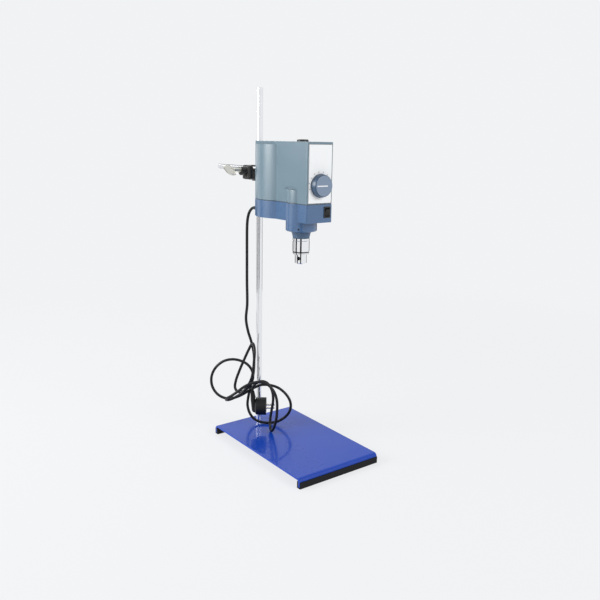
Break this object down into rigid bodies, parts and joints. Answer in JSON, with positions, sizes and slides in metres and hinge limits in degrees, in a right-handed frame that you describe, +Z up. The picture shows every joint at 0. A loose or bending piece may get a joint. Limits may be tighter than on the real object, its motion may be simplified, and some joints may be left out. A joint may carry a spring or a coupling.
{
  "type": "overhead stirrer",
  "caption": "Overhead stirrer on a plate stand: boxy motor head with a speed knob, rocker switch and keyed chuck, held on a tall rod by a boss head, with its mains cord.",
  "frame": {"origin": "middle of the whole stirrer's outline without its cord, at the level of the bench that it stands on", "axes": "+Z up along the stand rod; -Y is the side with the control panel; +X is to the right as seen from the panel side"},
  "size_m": [0.2074, 0.42, 0.754],
  "materials": {
    "base_plate": "gloss paint",
    "front_foot": "matte",
    "rear_foot": "matte",
    "foot_screws": "plated",
    "stand_rod": "polished",
    "rod_washer": "plated",
    "rod_nut": "plated",
    "boss_head": "dark, worn bright at the edges",
    "rod_wing_screw": "satin plated",
    "arm_wing_screw": "satin plated",
    "support_arm": "polished",
    "arm_lock_nut": "plated",
    "upper_housing": "satin",
    "lower_housing": "satin",
    "housing_screws": "dark",
    "front_panel": "satin",
    "speed_knob": "satin",
    "knob_pointer": "matte",
    "potentiometer": "matte",
    "control_shaft": "turned",
    "switch_frame": "matte",
    "switch_rocker": "gloss",
    "shaft_cap": "matte",
    "chassis_plate": "plain",
    "motor_can": "plain",
    "motor_end_cap": "matte",
    "motor_shaft": "ground",
    "motor_wheel": "matte",
    "drive_belt": "matte",
    "spindle_wheel": "matte",
    "spindle": "ground",
    "upper_bearing": "ground",
    "lower_bearing": "ground",
    "circuit_board": "lacquered",
    "board_parts": "matte",
    "board_posts": "plain",
    "nose_cone": "satin paint",
    "neck_set_screw": "black",
    "chuck_body": "polished",
    "chuck_sleeve": "polished",
    "chuck_jaw_1": "ground",
    "chuck_jaw_2": "ground",
    "chuck_jaw_3": "ground",
    "cable_gland": "matte",
    "power_cord": "satin",
    "plug_body": "matte",
    "plug_pins": "plated"
  },
  "bodies": {
    "stand": {"base_plate": "base_plate", "front_foot": "front_foot", "rear_foot": "rear_foot", "foot_screws": "foot_screws", "stand_rod": "stand_rod", "rod_washer": "rod_washer", "rod_nut": "rod_nut"},
    "clamp": {"boss_head": "boss_head"},
    "rod_screw": {"rod_wing_screw": "rod_wing_screw"},
    "arm_screw": {"arm_wing_screw": "arm_wing_screw"},
    "drive_unit": {"support_arm": "support_arm", "arm_lock_nut": "arm_lock_nut", "upper_housing": "upper_housing", "lower_housing": "lower_housing", "housing_screws": "housing_screws", "front_panel": "front_panel", "potentiometer": "potentiometer", "switch_frame": "switch_frame", "shaft_cap": "shaft_cap", "chassis_plate": "chassis_plate", "motor_can": "motor_can", "motor_end_cap": "motor_end_cap", "drive_belt": "drive_belt", "upper_bearing": "upper_bearing", "lower_bearing": "lower_bearing", "circuit_board": "circuit_board", "board_parts": "board_parts", "board_posts": "board_posts", "nose_cone": "nose_cone", "neck_set_screw": "neck_set_screw", "cable_gland": "cable_gland", "power_cord": "power_cord", "plug_body": "plug_body", "plug_pins": "plug_pins"},
    "knob": {"speed_knob": "speed_knob", "knob_pointer": "knob_pointer", "control_shaft": "control_shaft"},
    "rocker": {"switch_rocker": "switch_rocker"},
    "spindle": {"spindle": "spindle", "spindle_wheel": "spindle_wheel", "chuck_body": "chuck_body"},
    "sleeve": {"chuck_sleeve": "chuck_sleeve"},
    "jaw_1": {"chuck_jaw_1": "chuck_jaw_1"},
    "jaw_2": {"chuck_jaw_2": "chuck_jaw_2"},
    "jaw_3": {"chuck_jaw_3": "chuck_jaw_3"},
    "motor_rotor": {"motor_shaft": "motor_shaft", "motor_wheel": "motor_wheel"}
  },
  "joints": [
    {"name": "height_slide", "type": "slide", "parent": "stand", "child": "clamp", "axis": [0, 0, 1], "range_m": [0, 0.15]},
    {"name": "rod_wing_screw_turn", "type": "hinge", "parent": "clamp", "child": "rod_screw", "pos_m": [0.0065, 0.083, 0.586], "axis": [1, 0, 0], "range_deg": [-360, 90]},
    {"name": "arm_wing_screw_turn", "type": "hinge", "parent": "clamp", "child": "arm_screw", "pos_m": [-0.029, 0.083, 0.586], "axis": [-1, 0, 0], "range_deg": [-360, 90]},
    {"name": "reach_slide", "type": "slide", "parent": "clamp", "child": "drive_unit", "axis": [0, 1, 0], "range_m": [-0.08, 0.012]},
    {"name": "speed_knob_turn", "type": "hinge", "parent": "drive_unit", "child": "knob", "pos_m": [-0.024, -0.154, 0.567], "axis": [0, -1, 0], "range_deg": [-210, 30]},
    {"name": "power_rocker_tilt", "type": "hinge", "parent": "drive_unit", "child": "rocker", "pos_m": [-0.0065, -0.154, 0.5175], "axis": [1, 0, 0], "range_deg": [-16, 0]},
    {"name": "spindle_spin", "type": "hinge", "parent": "drive_unit", "child": "spindle", "pos_m": [-0.031, -0.108, 0.5], "axis": [0, 0, 1], "continuous": true},
    {"name": "motor_spin", "type": "hinge", "parent": "drive_unit", "child": "motor_rotor", "pos_m": [-0.024, -0.02, 0.54], "axis": [0, 0, 1], "continuous": true},
    {"name": "chuck_sleeve_turn", "type": "hinge", "parent": "spindle", "child": "sleeve", "pos_m": [-0.031, -0.108, 0.45], "axis": [0, 0, 1], "range_deg": [-590, 1345]},
    {"name": "jaw_1_slide", "type": "slide", "parent": "spindle", "child": "jaw_1", "axis": [0.0045, -0.2588, 0.9659], "range_m": [-0.0033, 0.0075]},
    {"name": "jaw_2_slide", "type": "slide", "parent": "spindle", "child": "jaw_2", "axis": [0.2219, 0.1333, 0.9659], "range_m": [-0.0033, 0.0075]},
    {"name": "jaw_3_slide", "type": "slide", "parent": "spindle", "child": "jaw_3", "axis": [-0.2264, 0.1255, 0.9659], "range_m": [-0.0033, 0.0075]}
  ],
  "couplings": [
    {"joint": "motor_spin", "follows": "spindle_spin", "ratio": 2.5},
    {"joint": "jaw_1_slide", "follows": "chuck_sleeve_turn", "m_per_rad": 0.00031831},
    {"joint": "jaw_2_slide", "follows": "chuck_sleeve_turn", "m_per_rad": 0.00031831},
    {"joint": "jaw_3_slide", "follows": "chuck_sleeve_turn", "m_per_rad": 0.00031831}
  ]
}
